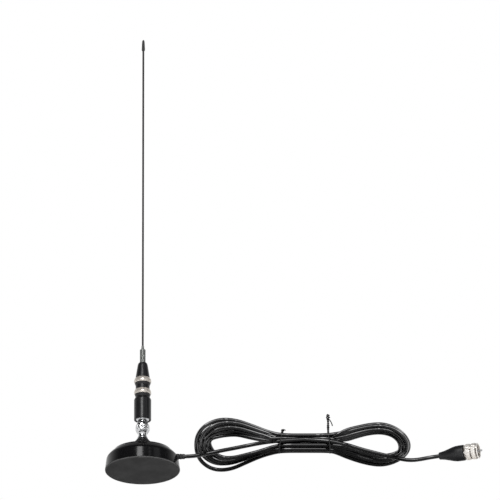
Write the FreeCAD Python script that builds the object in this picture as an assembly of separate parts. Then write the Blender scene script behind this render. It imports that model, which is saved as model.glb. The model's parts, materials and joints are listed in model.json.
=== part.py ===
"""Omnidirectional mobile whip antenna on a round magnetic base.

The antenna stands on its magnet: +Z runs up the whip, and the origin is the centre of the
pad's bottom face. The feed cable leaves the base towards +X, lies on the same surface as a
tied hank, and ends in a screw-on coaxial plug. Millimetres and degrees throughout.
"""
import FreeCAD, Part
import os
from math import cos, pi, radians, sin, sqrt, tan

V = FreeCAD.Vector
UP = V(0, 0, 1)
FULL_TURN = 360.0

# ---- driving dimensions -------------------------------------------------------------------
BASE_R = 45.0               # magnet base, outside radius at its foot
WALL_TOP_R = 43.3           # radius where the side wall meets the dome
WALL_TOP_Z = 14.5
SHELL_WALL = 1.8
PAD_T = 1.2
CUP_R = 37.5
CUP_TOP_Z = 12.6
CUP_WALL = 2.0
MAGNET_OUT_R = 34.0
MAGNET_IN_R = 12.0
HUB_FOOT_R = 16.0
HUB_FOOT_Z = 27.2
HUB_TOP_R = 5.9
HUB_TOP_Z = 41.5
STUD_R = 3.0
BUSH_R = 5.0
KNUCKLE_Z = 54.7            # height of the tilt axis
BALL_R = 9.1
BALL_CLEAR_R = 9.45         # room that the stem and the collar leave round the ball halves
HALF_GAP = 0.5              # each half stops this far from the split plane
SCREW_R = 2.5
SCREW_HOLE_R = 2.56
SCREW_HEAD_R = 5.7
BALL_FLAT_Y = 6.3           # the flat on the front half, under the screw's head
SCREW_HEAD_T = 2.6
SLEEVE_R = 10.3
SLEEVE_Z = 65.0
SHOULDER_Z = 91.2
NECK_R = 8.4                # the coil housing between its rings
NECK_Z = 94.8
FLARE_R = 9.5
RING_R = 10.4
RING_H = 6.8
RING_PITCH = 14.6           # lower ring to upper ring
LOWER_RING_Z = 98.2
HOUSING_BORE_R = 7.0
CONE_TOP_R = 5.8
CONE_TOP_Z = 139.5
HOLDER_R = 3.4
HOLDER_TOP_Z = 156.5
WHIP_R = 1.05
WHIP_BORE_R = 1.1
WHIP_FOOT_Z = 134.0
WHIP_END_Z = 556.0
HEIGHT = 560.0
GRUB_R = 1.6
GRUB_Z = (141.3, 147.7)

CABLE_D = 4.8
CABLE_R = CABLE_D / 2
EXIT_TURN = -12.0           # the cable leaves the base this far round from +X
EXIT_DROOP = -4.0
EXIT_Z = 15.0
EXIT_START_R = 38.0
RELIEF_FLANGE_R = 4.2
RELIEF_FLANGE_T = 1.4
RELIEF_LENGTH = 14.0
RELIEF_R = 3.5

WAIST_Y = -55.5             # axis of the tied middle of the hank
WAIST_Z = 13.05
WAIST_R = 11.8
TIE_WIRE_R = 0.6
TIE_X = (165.0, 224.0)
HANK_LEFT_H = 25.0          # the left loop is piled higher than the right one
HANK_RIGHT_H = 16.0

PLUG_FOOT = V(355.0, -24.9, 8.9)    # where the cable enters the plug's boot
PLUG_TURN = -16.0
PLUG_RISE = 2.0
BOOT_LENGTH = 31.9
PLUG_RING_R = 9.85
PLUG_RING_START = 32.3
PLUG_RING_LENGTH = 16.9
PLUG_RING_GROOVE_R = 8.95
PIN_END = 53.5


# ---- helpers ------------------------------------------------------------------------------
def heading(turn, rise):
    """Unit vector at a turn about Z from +X and a rise above the level, in degrees."""
    level = cos(radians(rise))
    return V(cos(radians(turn)) * level, sin(radians(turn)) * level, sin(radians(rise)))


EXIT_DIR = heading(EXIT_TURN, EXIT_DROOP)
PLUG_DIR = heading(PLUG_TURN, PLUG_RISE)
EXIT_START = heading(EXIT_TURN, 0) * EXIT_START_R + V(0, 0, EXIT_Z)


def turned(profile, start=V(0, 0, 0), direction=UP):
    """Solid of revolution of (radius, distance) points about an axis through start."""
    points = [V(r, 0, z) for r, z in profile]
    face = Part.Face(Part.makePolygon(points + points[:1]))
    solid = face.revolve(V(0, 0, 0), UP, FULL_TURN)
    solid.Placement = FreeCAD.Placement(start, FreeCAD.Rotation(UP, direction))
    return solid


def rod(r, length, start, direction=UP):
    return Part.makeCylinder(r, length, start, direction)


def ring(r_out, r_in, length, start, direction=UP):
    return rod(r_out, length, start, direction).cut(rod(r_in, length, start, direction))


def box(x0, x1, y0, y1, z0, z1):
    return Part.makeBox(x1 - x0, y1 - y0, z1 - z0, V(x0, y0, z0))


def hex_prism(across_flats, length, start, direction=UP):
    corner = across_flats / sqrt(3)
    points = [V(corner * cos(k * pi / 3), corner * sin(k * pi / 3), 0) for k in range(7)]
    solid = Part.Face(Part.makePolygon(points)).extrude(UP * length)
    solid.Placement = FreeCAD.Placement(start, FreeCAD.Rotation(UP, direction))
    return solid


def cable_tube(name, points):
    """Round tube along straight runs joined by tangent arcs, each as large as its runs allow."""
    edges = []
    radii = []
    last = points[0]
    for before, corner, after in zip(points, points[1:], points[2:]):
        to_before = before - corner
        to_after = after - corner
        half_turn = (pi - to_before.getAngle(to_after)) / 2
        setback = 0.45 * min(to_before.Length, to_after.Length)
        to_before.normalize()
        to_after.normalize()
        radius = setback / tan(half_turn)
        arc_start = corner + to_before * setback
        arc_end = corner + to_after * setback
        inward = to_before + to_after
        inward.normalize()
        middle = corner + inward * (radius / cos(half_turn) - radius)
        edges.append(Part.LineSegment(last, arc_start).toShape())
        edges.append(Part.Arc(arc_start, middle, arc_end).toShape())
        last = arc_end
        radii.append(radius)
    edges.append(Part.LineSegment(last, points[-1]).toShape())
    path = Part.Wire(edges)
    section = Part.Wire(Part.Circle(points[0], points[1] - points[0], CABLE_R).toShape())
    solid = path.makePipeShell([section], True, True)
    expected = pi * CABLE_R ** 2 * path.Length
    print(name, "length", round(path.Length, 1), "volume ratio", round(solid.Volume / expected, 4),
          "radii", [round(r, 1) for r in radii])
    return solid


# ---- the magnetic base ---------------------------------------------------------------------
def base_pad():
    """Thin rubber pad over the whole underside, with a small chamfer at its edge."""
    return turned([(0, 0), (BASE_R - 0.7, 0), (BASE_R - 0.1, 0.5), (BASE_R - 0.1, PAD_T), (0, PAD_T)])


def base_shell():
    """Domed cover, open below, with a hole for the mast's stud and one for the cable."""
    outside = [(BASE_R, PAD_T), (BASE_R - 0.2, 2.2), (WALL_TOP_R, WALL_TOP_Z), (42.3, 16.8),
               (39.0, 20.4), (36.0, 23.0), (34.6, 25.0), (31.0, 25.8), (24.0, 26.5),
               (HUB_FOOT_R, HUB_FOOT_Z)]
    inside = [(HUB_FOOT_R, HUB_FOOT_Z - SHELL_WALL), (24.0, 26.5 - SHELL_WALL), (33.0, 23.6),
              (34.6, 21.9), (37.5, 19.2), (40.6, 16.0), (WALL_TOP_R - SHELL_WALL, WALL_TOP_Z),
              (BASE_R - SHELL_WALL - 0.4, PAD_T)]
    roof = [(BUSH_R, HUB_FOOT_Z - SHELL_WALL)]
    crown = [(BUSH_R, HUB_FOOT_Z)]
    shell = turned(outside + crown + roof + inside)
    hole = rod(RELIEF_R, 12.0, EXIT_START, EXIT_DIR)
    pocket = rod(RELIEF_FLANGE_R, RELIEF_FLANGE_T, EXIT_START, EXIT_DIR)
    return shell.cut(hole).cut(pocket)


def magnet_cup():
    """Steel pot, open below, that closes the magnet's field."""
    return turned([(CUP_R - CUP_WALL, PAD_T), (CUP_R, PAD_T), (CUP_R, CUP_TOP_Z - 1), (CUP_R - 1, CUP_TOP_Z),
                   (STUD_R, CUP_TOP_Z), (STUD_R, CUP_TOP_Z - CUP_WALL),
                   (CUP_R - CUP_WALL, CUP_TOP_Z - CUP_WALL)])


def ring_magnet():
    """Ferrite ring inside the pot."""
    return turned([(MAGNET_IN_R, 1.6), (MAGNET_OUT_R, 1.6), (MAGNET_OUT_R, CUP_TOP_Z - CUP_WALL),
                   (MAGNET_IN_R, CUP_TOP_Z - CUP_WALL)])


def centre_pole():
    """Steel pole piece in the magnet's hole; the stud screws into it."""
    return turned([(0, 1.6), (9.0, 1.6), (9.0, CUP_TOP_Z - CUP_WALL), (STUD_R, CUP_TOP_Z - CUP_WALL),
                   (STUD_R, 4.0), (0, 4.0)])


def mast_stud():
    """Brass stud from the pole piece up into the lower knuckle."""
    return rod(STUD_R, KNUCKLE_Z - BALL_CLEAR_R - 0.5 - 4.0, V(0, 0, 4.0))


def stud_bush():
    """Insulating bush round the stud, with a collar on the pot."""
    return turned([(STUD_R, CUP_TOP_Z), (9.0, CUP_TOP_Z), (9.0, CUP_TOP_Z + 2), (BUSH_R, CUP_TOP_Z + 2),
                   (BUSH_R, 30.0), (STUD_R, 30.0)])


def stud_nut():
    """Hexagon nut that clamps the lugs to the bush's collar."""
    nut = hex_prism(12.0, 3.0, V(0, 0, CUP_TOP_Z + 3.6))
    return nut.cut(rod(BUSH_R, 3.0, V(0, 0, CUP_TOP_Z + 3.6)))


def lug(z, tail_y):
    """Ring terminal round the bush, with a tail towards the cable."""
    eye = ring(7.5, BUSH_R, 0.8, V(0, 0, z))
    tail = box(4.0, 17.0, tail_y - 1.6, tail_y + 1.6, z, z + 0.8)
    return eye.fuse(tail).cut(rod(BUSH_R, 0.8, V(0, 0, z))).removeSplitter()


def hub_cone():
    """Cone that carries the knuckle, with a rounded foot on the dome."""
    return turned([(BUSH_R, HUB_FOOT_Z), (HUB_FOOT_R, HUB_FOOT_Z), (12.6, 30.0), (10.6, 34.6), (9.6, 37.0),
                   (HUB_TOP_R + 0.4, 41.1), (HUB_TOP_R, HUB_TOP_Z), (STUD_R, HUB_TOP_Z), (STUD_R, 30.0),
                   (BUSH_R, 30.0)])


def strain_relief():
    """Tapered gland with a flange inside the shell and two grip grooves outside."""
    return turned([(CABLE_R, 0), (RELIEF_FLANGE_R, 0), (RELIEF_FLANGE_R, RELIEF_FLANGE_T),
                   (RELIEF_R, RELIEF_FLANGE_T), (RELIEF_R, 6.8), (3.1, 7.2), (3.1, 8.2), (3.4, 8.6),
                   (3.4, 10.0), (3.0, 10.4), (3.0, 11.2), (3.2, 11.6), (3.0, RELIEF_LENGTH),
                   (CABLE_R, RELIEF_LENGTH)], EXIT_START, EXIT_DIR)


def cable_inner():
    """The cable inside the base, up to the middle of the strain relief."""
    start = EXIT_START - EXIT_DIR * 16.0
    return rod(CABLE_R, 16.0 + 5.0, start, EXIT_DIR)


def cable_clip():
    """Saddle that holds the cable down to the pot."""
    middle = EXIT_START - EXIT_DIR * 8.0
    saddle = ring(CABLE_R + 1.2, CABLE_R, 5.0, middle - EXIT_DIR * 2.5, EXIT_DIR)
    foot = Part.makeBox(5.0, 13.0, middle.z - CUP_TOP_Z - 0.2, V(-2.5, -6.5, 0))
    foot.Placement = FreeCAD.Placement(V(middle.x, middle.y, CUP_TOP_Z), FreeCAD.Rotation(UP, EXIT_TURN))
    core = rod(CABLE_R, 9.0, middle - EXIT_DIR * 4.5, EXIT_DIR)
    pot = rod(CUP_R, CUP_TOP_Z, V(0, 0, 0))
    return saddle.fuse(foot).cut(core).cut(pot).removeSplitter()


# ---- the tilt knuckle ----------------------------------------------------------------------
CENTRE = V(0, 0, KNUCKLE_Z)


def ball_half(side):
    """Half of the ball on one side of the split plane: side is -1 in front and +1 behind."""
    ball = Part.makeSphere(BALL_R, CENTRE)
    far = side * 2 * BALL_R
    near = side * HALF_GAP
    keep = box(-2 * BALL_R, 2 * BALL_R, min(near, far), max(near, far), 0, 2 * KNUCKLE_Z)
    return ball.common(keep)


def clear_of_other_half(side):
    """The room that the other half of the ball turns in."""
    far = side * 2 * BALL_R
    near = side * -HALF_GAP
    room = box(-2 * BALL_R, 2 * BALL_R, min(near, far), max(near, far), 0, 2 * KNUCKLE_Z)
    return Part.makeSphere(BALL_CLEAR_R, CENTRE).common(room)


def screw_hole():
    return rod(SCREW_HOLE_R, 4 * BALL_R, V(0, -2 * BALL_R, KNUCKLE_Z), V(0, 1, 0))


def knuckle_lower():
    """Waisted stem with the front half of the ball, which has a flat for the screw's head."""
    stem = turned([(0, HUB_TOP_Z), (6.3, HUB_TOP_Z), (6.3, 42.4), (5.3, 44.2), (5.2, 46.0), (6.2, 49.0),
                   (6.2, KNUCKLE_Z), (0, KNUCKLE_Z)])
    flat = box(-20, 20, -20, -BALL_FLAT_Y, 0, 2 * KNUCKLE_Z)
    solid = stem.fuse(ball_half(-1)).cut(clear_of_other_half(1)).cut(flat).cut(screw_hole())
    return solid.cut(mast_stud()).removeSplitter()


def knuckle_upper():
    """Back half of the ball, with the collar, flange and spigot that carry the coil housing."""
    collar = turned([(0, KNUCKLE_Z), (6.2, KNUCKLE_Z), (6.2, 61.0), (5.6, 62.2), (5.6, 65.6), (8.0, 65.6),
                     (8.4, 66.4), (8.4, 68.0), (4.0, 68.0), (4.0, 78.0), (0, 78.0)])
    solid = collar.fuse(ball_half(1)).cut(clear_of_other_half(-1)).cut(screw_hole())
    return solid.removeSplitter()


def tilt_washer():
    """Serrated washer between the two halves."""
    return ring(6.0, SCREW_HOLE_R + 0.3, 2 * HALF_GAP - 0.3, V(0, -HALF_GAP + 0.15, KNUCKLE_Z), V(0, 1, 0))


def clamp_screw():
    """Domed socket-head screw along Y that clamps the tilt."""
    head_face = -BALL_FLAT_Y - 0.1
    head = turned([(0, 0), (3.2, 0), (4.8, 0.45), (SCREW_HEAD_R, 1.4), (SCREW_HEAD_R, SCREW_HEAD_T),
                   (0, SCREW_HEAD_T)], V(0, head_face - SCREW_HEAD_T, KNUCKLE_Z), V(0, 1, 0))
    shank = rod(SCREW_R, BALL_FLAT_Y + 7.6, V(0, head_face, KNUCKLE_Z), V(0, 1, 0))
    socket = hex_prism(2.5, 2.2, V(0, head_face - SCREW_HEAD_T, KNUCKLE_Z), V(0, 1, 0))
    return head.fuse(shank).cut(socket).removeSplitter()


# ---- coil housing --------------------------------------------------------------------------
def coil_sleeve():
    """Satin sleeve over the coil, with a sloping shoulder."""
    return turned([(8.45, SLEEVE_Z), (SLEEVE_R - 0.3, SLEEVE_Z), (SLEEVE_R, SLEEVE_Z + 0.4),
                   (SLEEVE_R, SHOULDER_Z), (SLEEVE_R - 0.5, SHOULDER_Z + 1.0), (NECK_R, NECK_Z),
                   (HOUSING_BORE_R, NECK_Z), (HOUSING_BORE_R, SHOULDER_Z), (8.45, SHOULDER_Z - 2.0)])


def spacer(foot_z, top_z):
    """Neck that flares out to carry a ring."""
    return turned([(HOUSING_BORE_R, foot_z), (NECK_R, foot_z), (NECK_R, top_z - 3.2), (FLARE_R, top_z - 0.4),
                   (FLARE_R, top_z), (HOUSING_BORE_R, top_z)])


def bright_ring(foot_z):
    """Bright ring with its largest radius near its foot."""
    return turned([(HOUSING_BORE_R, foot_z), (FLARE_R + 0.1, foot_z), (RING_R, foot_z + 1.6),
                   (RING_R, foot_z + 2.8), (NECK_R + 0.1, foot_z + RING_H),
                   (HOUSING_BORE_R, foot_z + RING_H)])


UPPER_RING_Z = LOWER_RING_Z + RING_PITCH
CONE_FOOT_Z = UPPER_RING_Z + RING_H


def cone_cap():
    """Cone that closes the housing and holds the whip holder."""
    return turned([(HOUSING_BORE_R, CONE_FOOT_Z), (NECK_R, CONE_FOOT_Z), (NECK_R, CONE_FOOT_Z + 1.4),
                   (CONE_TOP_R + 0.2, 136.0), (CONE_TOP_R - 0.3, 137.8), (CONE_TOP_R - 1.2, 139.0),
                   (HOLDER_R + 0.5, CONE_TOP_Z), (HOLDER_R, CONE_TOP_Z), (HOLDER_R, 126.0),
                   (5.2, 126.0), (5.2, 124.0), (HOUSING_BORE_R, 122.0)])


def coil_former():
    """Plastic former from the knuckle's spigot to the whip holder."""
    return turned([(4.0, 69.0), (5.4, 69.0), (5.4, 121.0), (0, 121.0), (0, 78.0), (4.0, 78.0)])


def coil_winding():
    """Loading coil: one close-wound layer of enamelled wire."""
    return ring(6.3, 5.4, 38.0, V(0, 0, 78.0))


def whip_holder():
    """Ferrule with a flange inside the cone and a slim lip round the whip."""
    return turned([(0, 121.0), (5.2, 121.0), (5.2, 124.0), (HOLDER_R, 124.0), (HOLDER_R, HOLDER_TOP_Z - 0.6),
                   (HOLDER_R - 0.6, HOLDER_TOP_Z), (1.75, HOLDER_TOP_Z), (1.5, HOLDER_TOP_Z + 4.5),
                   (WHIP_BORE_R, HOLDER_TOP_Z + 4.5), (WHIP_BORE_R, 125.0), (0, 125.0)]).cut(grub_holes())


def grub_holes():
    holes = [rod(GRUB_R, 2 * HOLDER_R, V(0, -2 * HOLDER_R, z), V(0, 1, 0)) for z in GRUB_Z]
    return Part.makeCompound(holes)


def grub_screws():
    """Two socket grub screws that grip the whip."""
    tip_y = -(WHIP_BORE_R + 0.05)
    head_y = -(HOLDER_R - 0.35)
    screws = []
    for z in GRUB_Z:
        screw = rod(GRUB_R, tip_y - head_y, V(0, head_y, z), V(0, 1, 0))
        screws.append(screw.cut(hex_prism(1.5, 1.2, V(0, head_y, z), V(0, 1, 0))))
    return Part.makeCompound(screws)


def whip():
    return rod(WHIP_R, WHIP_END_Z - WHIP_FOOT_Z, V(0, 0, WHIP_FOOT_Z))


def whip_tip():
    """Tapered cap over the whip's end."""
    return turned([(WHIP_R, 546.0), (1.95, 546.0), (2.0, 547.0), (1.5, 557.5), (1.0, 559.4), (0, HEIGHT),
                   (0, WHIP_END_Z), (WHIP_R, WHIP_END_Z)])


# ---- cable, hank and ties -------------------------------------------------------------------
LEAD_ROUTE = [EXIT_START + EXIT_DIR * 5.0, EXIT_START + EXIT_DIR * 14.5, V(61.4, -16.6, 12.4),
              V(69.4, -24.8, 10.2), V(75.2, -34.0, 8.0)]
TAIL_ROUTE = [V(303.5, -35.6, 2.5), V(313.2, -29.3, 2.5), V(323.0, -24.8, 3.6), V(333.2, -22.1, 6.0),
              PLUG_FOOT - PLUG_DIR * 11.0, PLUG_FOOT]


def lobe(top, end, bottom, waist_x, band, height):
    """One loop of the hank, seen from above: an arc with straight sides that run to the waist.

    top, end and bottom are (x, y) points on the arc; the hole is the same shape, a band smaller.
    """
    half = 9.0
    away = 1 if end[0] < waist_x else -1

    def outline(inset):
        a = V(top[0], top[1] + inset, 0)
        b = V(end[0] + away * inset, end[1], 0)
        c = V(bottom[0], bottom[1] - inset, 0)
        edges = [Part.Arc(a, b, c).toShape()]
        if inset:
            apex = V(waist_x - away * 1.1 * band, WAIST_Y, 0)
            corners = [c, apex, a]
        else:
            corners = [c, V(waist_x, WAIST_Y + half, 0), V(waist_x, WAIST_Y - half, 0), a]
        edges += [Part.LineSegment(p, q).toShape() for p, q in zip(corners, corners[1:])]
        return Part.Face(Part.Wire(edges))

    return outline(0).cut(outline(band)).extrude(UP * height)


def cable_hank():
    """Outer shape of the tied hank: two flat loops and a round waist."""
    left = lobe((118.0, -126.0), (62.0, -62.0), (118.0, 6.0), 158.0, 23.0, HANK_LEFT_H)
    right = lobe((276.0, -122.0), (323.0, -65.0), (276.0, -8.0), 231.0, 19.0, HANK_RIGHT_H)
    waist = rod(WAIST_R, 88.0, V(150.5, WAIST_Y, WAIST_Z), V(1, 0, 0))
    return left.fuse(right).fuse(waist).removeSplitter()


def tie(x, ear_top):
    """Twist tie round the waist, with a twisted ear that ends at ear_top."""
    circle = Part.Circle(V(x, WAIST_Y, WAIST_Z + WAIST_R + TIE_WIRE_R), V(0, 1, 0), TIE_WIRE_R)
    face = Part.Face(Part.Wire(circle.toShape()))
    loop = face.revolve(V(x, WAIST_Y, WAIST_Z), V(1, 0, 0), FULL_TURN)
    foot = V(x, WAIST_Y, WAIST_Z + WAIST_R + TIE_WIRE_R)
    ear = rod(0.9, (ear_top - foot).Length, foot, ear_top - foot)
    keep_out = rod(WAIST_R, 8.0, V(x - 4.0, WAIST_Y, WAIST_Z), V(1, 0, 0))
    return loop.fuse(ear).cut(keep_out).removeSplitter()


# ---- plug -----------------------------------------------------------------------------------
def plug_turned(profile):
    return turned(profile, PLUG_FOOT, PLUG_DIR)


def plug_boot():
    """Soft tapered boot over the back of the plug."""
    return plug_turned([(CABLE_R, 0), (4.0, 0), (4.4, 1.0), (5.4, 7.0), (8.5, 17.5), (9.4, 22.5),
                        (9.5, BOOT_LENGTH - 1.0), (9.0, BOOT_LENGTH), (7.0, BOOT_LENGTH), (7.0, 14.0),
                        (CABLE_R, 14.0)])


def plug_body():
    """Nickel body: a barrel in the boot, a shoulder, and the front barrel."""
    return plug_turned([(CABLE_R, 14.0), (7.0, 14.0), (7.0, 36.0), (6.0, 37.0), (6.0, 43.0), (5.0, 43.0),
                        (5.0, 36.0), (CABLE_R, 30.0)])


def plug_dielectric():
    return plug_turned([(1.9, 36.0), (5.0, 36.0), (5.0, 42.6), (1.9, 42.6)])


def plug_pin():
    """Centre pin with a slimmer rounded nose."""
    return plug_turned([(0, 33.0), (1.9, 33.0), (1.9, 48.0), (1.3, 48.8), (1.3, PIN_END - 0.8),
                        (0.8, PIN_END), (0, PIN_END)])


def coupling_ring():
    """Screw ring with two raised bands and a front lip, held behind by a shoulder in its bore."""
    s = PLUG_RING_START
    e = s + PLUG_RING_LENGTH
    r = PLUG_RING_R
    g = PLUG_RING_GROOVE_R
    return plug_turned([(7.06, s), (g, s), (g, s + 1.4), (r, s + 2.2), (r, s + 6.6), (g, s + 7.4),
                        (g, s + 8.6), (r, s + 9.4), (r, s + 13.6), (g, s + 14.4), (g, s + 15.3),
                        (r - 0.3, s + 15.9), (r - 0.6, e), (7.9, e), (7.9, s + 7.5), (7.06, s + 6.6)])


def main():
    nodes = {
        "base_pad": base_pad(),
        "base_shell": base_shell(),
        "magnet_cup": magnet_cup(),
        "ring_magnet": ring_magnet(),
        "centre_pole": centre_pole(),
        "mast_stud": mast_stud(),
        "stud_bush": stud_bush(),
        "ground_lug": lug(CUP_TOP_Z + 2.0, -4.6),
        "centre_lug": lug(CUP_TOP_Z + 2.8, 2.6),
        "stud_nut": stud_nut(),
        "hub_cone": hub_cone(),
        "strain_relief": strain_relief(),
        "cable_inner": cable_inner(),
        "cable_clip": cable_clip(),
        "knuckle_lower": knuckle_lower(),
        "knuckle_upper": knuckle_upper(),
        "tilt_washer": tilt_washer(),
        "clamp_screw": clamp_screw(),
        "coil_sleeve": coil_sleeve(),
        "lower_spacer": spacer(NECK_Z, LOWER_RING_Z),
        "lower_ring": bright_ring(LOWER_RING_Z),
        "middle_spacer": spacer(LOWER_RING_Z + RING_H, UPPER_RING_Z),
        "upper_ring": bright_ring(UPPER_RING_Z),
        "cone_cap": cone_cap(),
        "coil_former": coil_former(),
        "coil_winding": coil_winding(),
        "whip_holder": whip_holder(),
        "grub_screws": grub_screws(),
        "whip": whip(),
        "whip_tip": whip_tip(),
        "cable_lead": cable_tube("cable_lead", LEAD_ROUTE),
        "cable_hank": cable_hank(),
        "cable_tail": cable_tube("cable_tail", TAIL_ROUTE),
        "tie_left": tie(TIE_X[0], V(TIE_X[0] - 0.5, WAIST_Y - 6.0, 29.0)),
        "tie_right": tie(TIE_X[1], V(TIE_X[1] - 2.2, WAIST_Y - 13.0, 44.5)),
        "plug_boot": plug_boot(),
        "plug_body": plug_body(),
        "plug_dielectric": plug_dielectric(),
        "plug_pin": plug_pin(),
        "coupling_ring": coupling_ring(),
    }
    os.makedirs("parts", exist_ok=True)
    for name, shape in nodes.items():
        if not shape.isValid() or shape.Volume <= 0:
            raise RuntimeError(name + " is not a valid solid")
        shape.exportStep("parts/" + name + ".step")
    print(len(nodes), "nodes")


main()
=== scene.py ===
"""Omnidirectional mobile whip antenna on a magnetic base: the visual model round the CAD frame.

Lengths are metres in the frame; profiles are written in millimetres and scaled by MM.
The camera side of the antenna is -Y, +Z runs up the whip, and the cable lies towards +X.
"""

import json
from math import cos, pi, radians, sin

import bpy
import numpy as np
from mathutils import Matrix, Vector


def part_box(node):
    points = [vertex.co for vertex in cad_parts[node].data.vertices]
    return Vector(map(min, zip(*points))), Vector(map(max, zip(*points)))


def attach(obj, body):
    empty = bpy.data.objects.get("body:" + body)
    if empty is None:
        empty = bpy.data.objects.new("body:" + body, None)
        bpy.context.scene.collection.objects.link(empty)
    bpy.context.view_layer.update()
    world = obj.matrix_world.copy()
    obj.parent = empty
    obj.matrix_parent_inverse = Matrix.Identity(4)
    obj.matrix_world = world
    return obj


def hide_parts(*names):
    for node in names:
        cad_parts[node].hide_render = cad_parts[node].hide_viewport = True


bl_info = {
    "name": "Mobile Whip Antenna",
    "version": (1, 0, 0),
    "blender": (4, 5, 0),
    "location": "3D View > Sidebar > Antenna",
    "description": "Builds a magnetic-mount whip antenna with its tied cable and plug",
    "category": "Add Mesh",
}

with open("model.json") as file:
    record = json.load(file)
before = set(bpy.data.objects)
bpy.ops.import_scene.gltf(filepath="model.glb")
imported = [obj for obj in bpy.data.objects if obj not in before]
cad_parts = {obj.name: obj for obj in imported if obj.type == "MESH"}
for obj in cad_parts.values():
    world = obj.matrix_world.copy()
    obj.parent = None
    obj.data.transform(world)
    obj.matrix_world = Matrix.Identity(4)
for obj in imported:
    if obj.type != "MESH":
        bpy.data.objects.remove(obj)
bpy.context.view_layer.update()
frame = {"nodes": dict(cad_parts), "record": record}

MM = 0.001
UP = Vector((0, 0, 1))
BACK = Vector((0, 1, 0))


def heading(turn, rise):
    """Unit vector at a turn about Z from +X and a rise above the level, in degrees."""
    level = cos(radians(rise))
    return Vector((cos(radians(turn)) * level, sin(radians(turn)) * level, sin(radians(rise))))


# ---- places taken from the frame ------------------------------------------------------------
def low(node, axis=2):
    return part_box(node)[0][axis]


def high(node, axis=2):
    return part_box(node)[1][axis]


BASE_R = high("base_shell", 0)
CENTRE = Vector((0, 0, (low("clamp_screw") + high("clamp_screw")) / 2))
BALL_R = high("knuckle_upper", 1)
HOUSING_R = high("coil_sleeve", 0)
# Where the strain relief and the plug's boot start, and which way they point, as in the CAD part.
EXIT_DIR = heading(-12, -4)
EXIT_START = heading(-12, 0) * 0.038 + Vector((0, 0, 0.015))
PLUG_DIR = heading(-16, 2)
PLUG_FOOT = Vector((0.3550, -0.0249, 0.0089))


# ---- settings a user would change -----------------------------------------------------------
class AntennaSizes(bpy.types.PropertyGroup):
    """Sizes of the details that the frame leaves to the looks."""
    cable_diameter: bpy.props.FloatProperty(
        name="Cable diameter", description="Outside diameter of the coaxial cable",
        default=0.0048, min=0.002, max=0.01, unit="LENGTH")
    tie_wire: bpy.props.FloatProperty(
        name="Tie wire", description="Diameter of the twist-tie wire",
        default=0.0015, min=0.0005, max=0.003, unit="LENGTH")
    ring_facets: bpy.props.IntProperty(
        name="Ring facets", description="Facets round each bright ring", default=16, min=6, max=48)
    knurl_teeth: bpy.props.IntProperty(
        name="Knurl teeth", description="Grip teeth round each band of the coupling ring",
        default=18, min=8, max=60)
    knurl_depth: bpy.props.FloatProperty(
        name="Knurl depth", description="Depth of the grip teeth", default=0.0004, min=0.0,
        max=0.002, unit="LENGTH")


class AntennaColours(bpy.types.PropertyGroup):
    """Base colours of the main finishes."""
    shell: bpy.props.FloatVectorProperty(
        name="Shell", description="Enamel of the magnetic base", subtype="COLOR",
        default=(0.006, 0.006, 0.0065), min=0, max=1)
    pad: bpy.props.FloatVectorProperty(
        name="Pad", description="Rubber under the base", subtype="COLOR",
        default=(0.11, 0.11, 0.11), min=0, max=1)
    housing: bpy.props.FloatVectorProperty(
        name="Coil housing", description="Anodised sleeve over the coil", subtype="COLOR",
        default=(0.011, 0.011, 0.012), min=0, max=1)
    cable: bpy.props.FloatVectorProperty(
        name="Cable", description="Jacket of the coaxial cable", subtype="COLOR",
        default=(0.0015, 0.0015, 0.0017), min=0, max=1)
    nickel: bpy.props.FloatVectorProperty(
        name="Nickel", description="Plating of the plug", subtype="COLOR",
        default=(0.80, 0.77, 0.73), min=0, max=1)


# ---- surfaces --------------------------------------------------------------------------------
SAME_PLACE = 1e-7


def axes_for(direction):
    """Three unit vectors, the last along direction."""
    w = Vector(direction).normalized()
    side = UP if abs(w.z) < 0.9 else Vector((0, -1, 0))
    u = side.cross(w).normalized()
    return np.array(u), np.array(w.cross(u)), np.array(w)


def values(items, key, width, kind):
    """One property of all the vertices, corners or faces of a mesh, as rows of an array."""
    out = np.empty(len(items) * width, kind)
    items.foreach_get(key, out)
    return out.reshape(-1, width)


def grid_mesh(name, points, wrap_rows, wrap_columns, sharp=35.0):
    """Mesh from an (rows, columns, 3) array; wrap flags join the last row or column to the first.

    Rows that shrink to a point are merged into one vertex, and faces are turned to point outwards.
    """
    rows, columns = points.shape[:2]
    r = np.arange(rows if wrap_rows else rows - 1)
    c = np.arange(columns if wrap_columns else columns - 1)
    r, c = (a.ravel() for a in np.meshgrid(r, c, indexing="ij"))
    r2, c2 = (r + 1) % rows, (c + 1) % columns
    quads = np.stack([r * columns + c, r * columns + c2, r2 * columns + c2, r2 * columns + c], 1)
    flat = points.reshape(-1, 3)
    a, b, d, e = (flat[quads[:, k]] for k in range(4))
    volume = (a * np.cross(b, d)).sum() + (a * np.cross(d, e)).sum()
    if volume < 0:
        quads = quads[:, ::-1]
    keys = np.round(flat / SAME_PLACE).astype(np.int64)
    unique, first, where = np.unique(keys, axis=0, return_index=True, return_inverse=True)
    quads = where.ravel()[quads]
    faces = [list(dict.fromkeys(q)) for q in quads.tolist()]
    faces = [f for f in faces if len(f) > 2]
    mesh = bpy.data.meshes.new(name)
    mesh.from_pydata(flat[first].tolist(), [], faces)
    mesh.validate()
    mesh.shade_smooth()
    mesh.set_sharp_from_angle(angle=radians(sharp))
    return mesh


def add_piece(name, mesh, body, slot, nodes):
    """Links a mesh as a piece with its slot's finish and its body, and hides the nodes it stands for."""
    piece = bpy.data.objects.new(name, mesh)
    bpy.context.scene.collection.objects.link(piece)
    piece.data.materials.append(MATERIALS[slot])
    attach(piece, body)
    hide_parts(*nodes)
    return piece


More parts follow.
